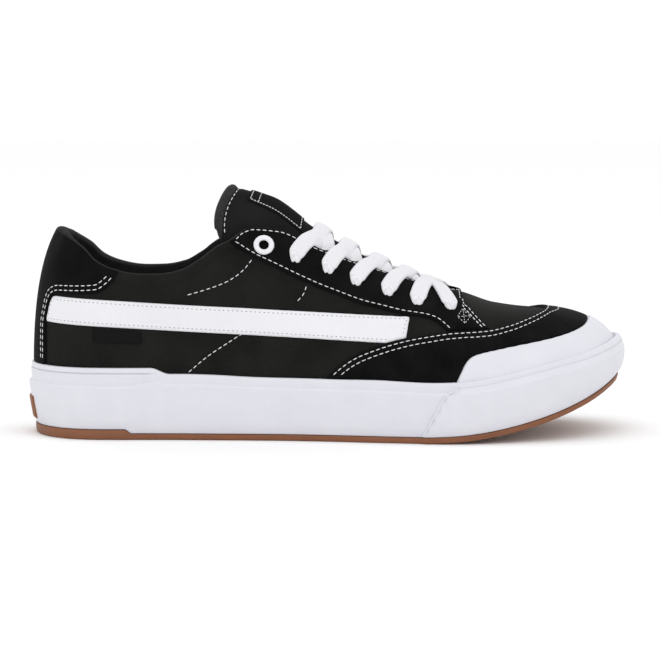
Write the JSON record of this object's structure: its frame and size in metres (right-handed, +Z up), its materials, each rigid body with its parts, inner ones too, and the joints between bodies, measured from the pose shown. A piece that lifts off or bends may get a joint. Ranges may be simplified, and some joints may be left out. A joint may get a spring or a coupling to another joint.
{
  "type": "skateboarding shoe",
  "caption": "Low-top right skateboarding shoe with a white cup sole, gum tread, dark suede overlays, padded tongue and flat white lace.",
  "frame": {"origin": "on the floor under the middle of the shoe's bounding box", "axes": "+X along the shoe to the toe, -Y to the outer side of the foot, +Z up"},
  "size_m": [0.3, 0.1114, 0.1235],
  "materials": {
    "gum_rubber": "matte gum rubber",
    "white_rubber": "smooth matte white rubber",
    "dark_canvas": "plain weave canvas",
    "dark_suede": "short napped suede",
    "white_leather": "smooth coated leather",
    "woven_label": "fine woven tape",
    "dark_lining": "padded knit lining",
    "white_lace": "flat woven cotton"
  },
  "bodies": {
    "root": {"outsole": "gum_rubber", "midsole": "white_rubber", "heel_patch": "gum_rubber", "insole": "dark_lining", "upper": "dark_canvas", "heel_counter": "dark_suede", "toe_overlay": "dark_suede", "toe_cap": "white_rubber", "eyestay_lateral": "dark_suede", "eyestay_medial": "dark_suede", "side_band_lateral": "white_leather", "side_band_medial": "white_leather", "side_tab": "woven_label", "tongue": "dark_lining", "tongue_label": "woven_label", "eyelet_lateral": "white_leather", "eyelet_medial": "white_leather", "lace_cross_1": "white_lace", "lace_cross_2": "white_lace", "lace_cross_3": "white_lace", "lace_cross_4": "white_lace", "lace_cross_5": "white_lace"}
  },
  "joints": []
}
